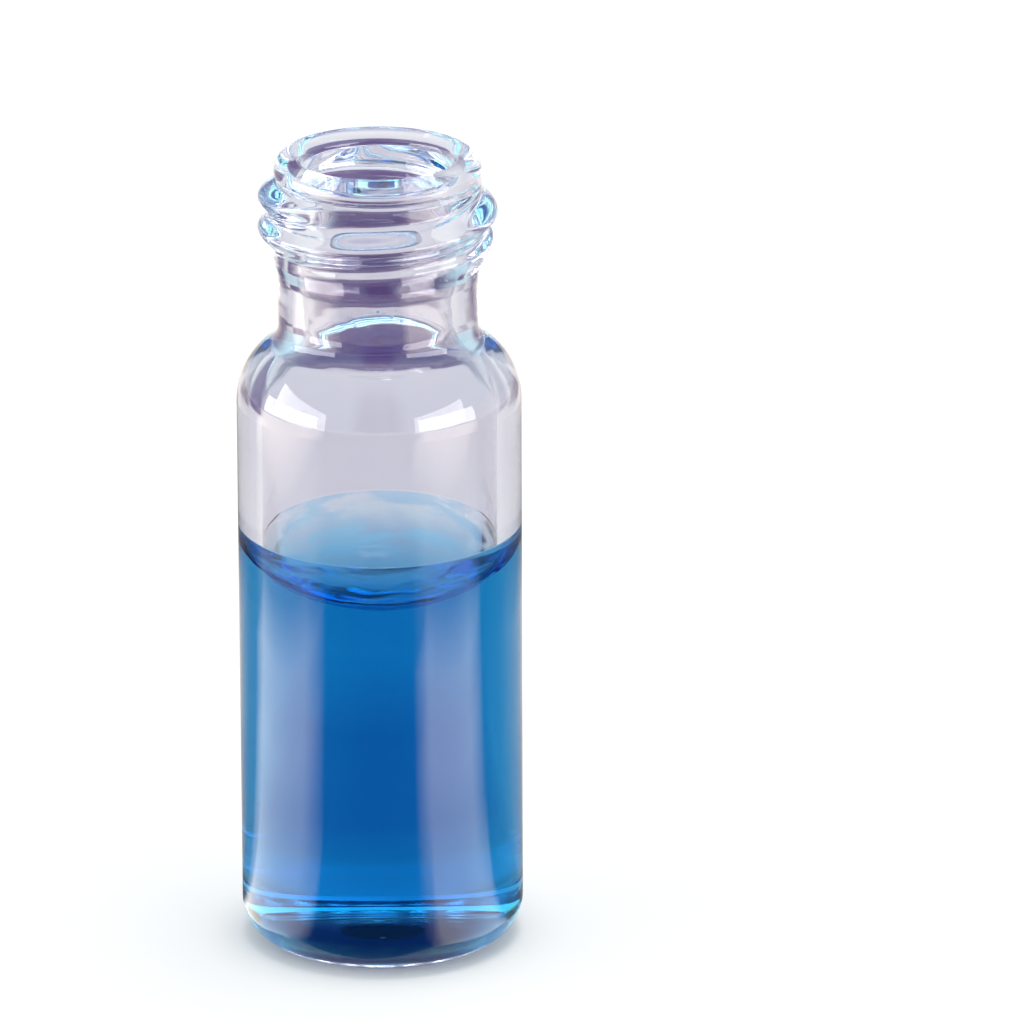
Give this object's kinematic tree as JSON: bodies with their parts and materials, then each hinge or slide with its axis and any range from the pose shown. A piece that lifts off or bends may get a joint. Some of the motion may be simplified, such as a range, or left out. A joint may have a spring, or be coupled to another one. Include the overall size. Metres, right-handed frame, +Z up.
{
  "type": "glass sample vial",
  "caption": "Small clear glass sample vial with a rounded shoulder, short neck and screw-thread mouth, standing upright and about half full of clear blue liquid.",
  "frame": {"origin": "centre of the foot, on the surface that the vial stands on", "axes": "+Z up along the vial's axis, out of its mouth; the thread starts at 150 degrees from +X towards +Y"},
  "size_m": [0.0116, 0.0116, 0.0336],
  "materials": {
    "glass": "clear fire-polished borosilicate glass",
    "liquid": "clear blue aqueous liquid"
  },
  "bodies": {
    "root": {"glass_vial": "glass", "sample_liquid": "liquid"}
  },
  "joints": []
}
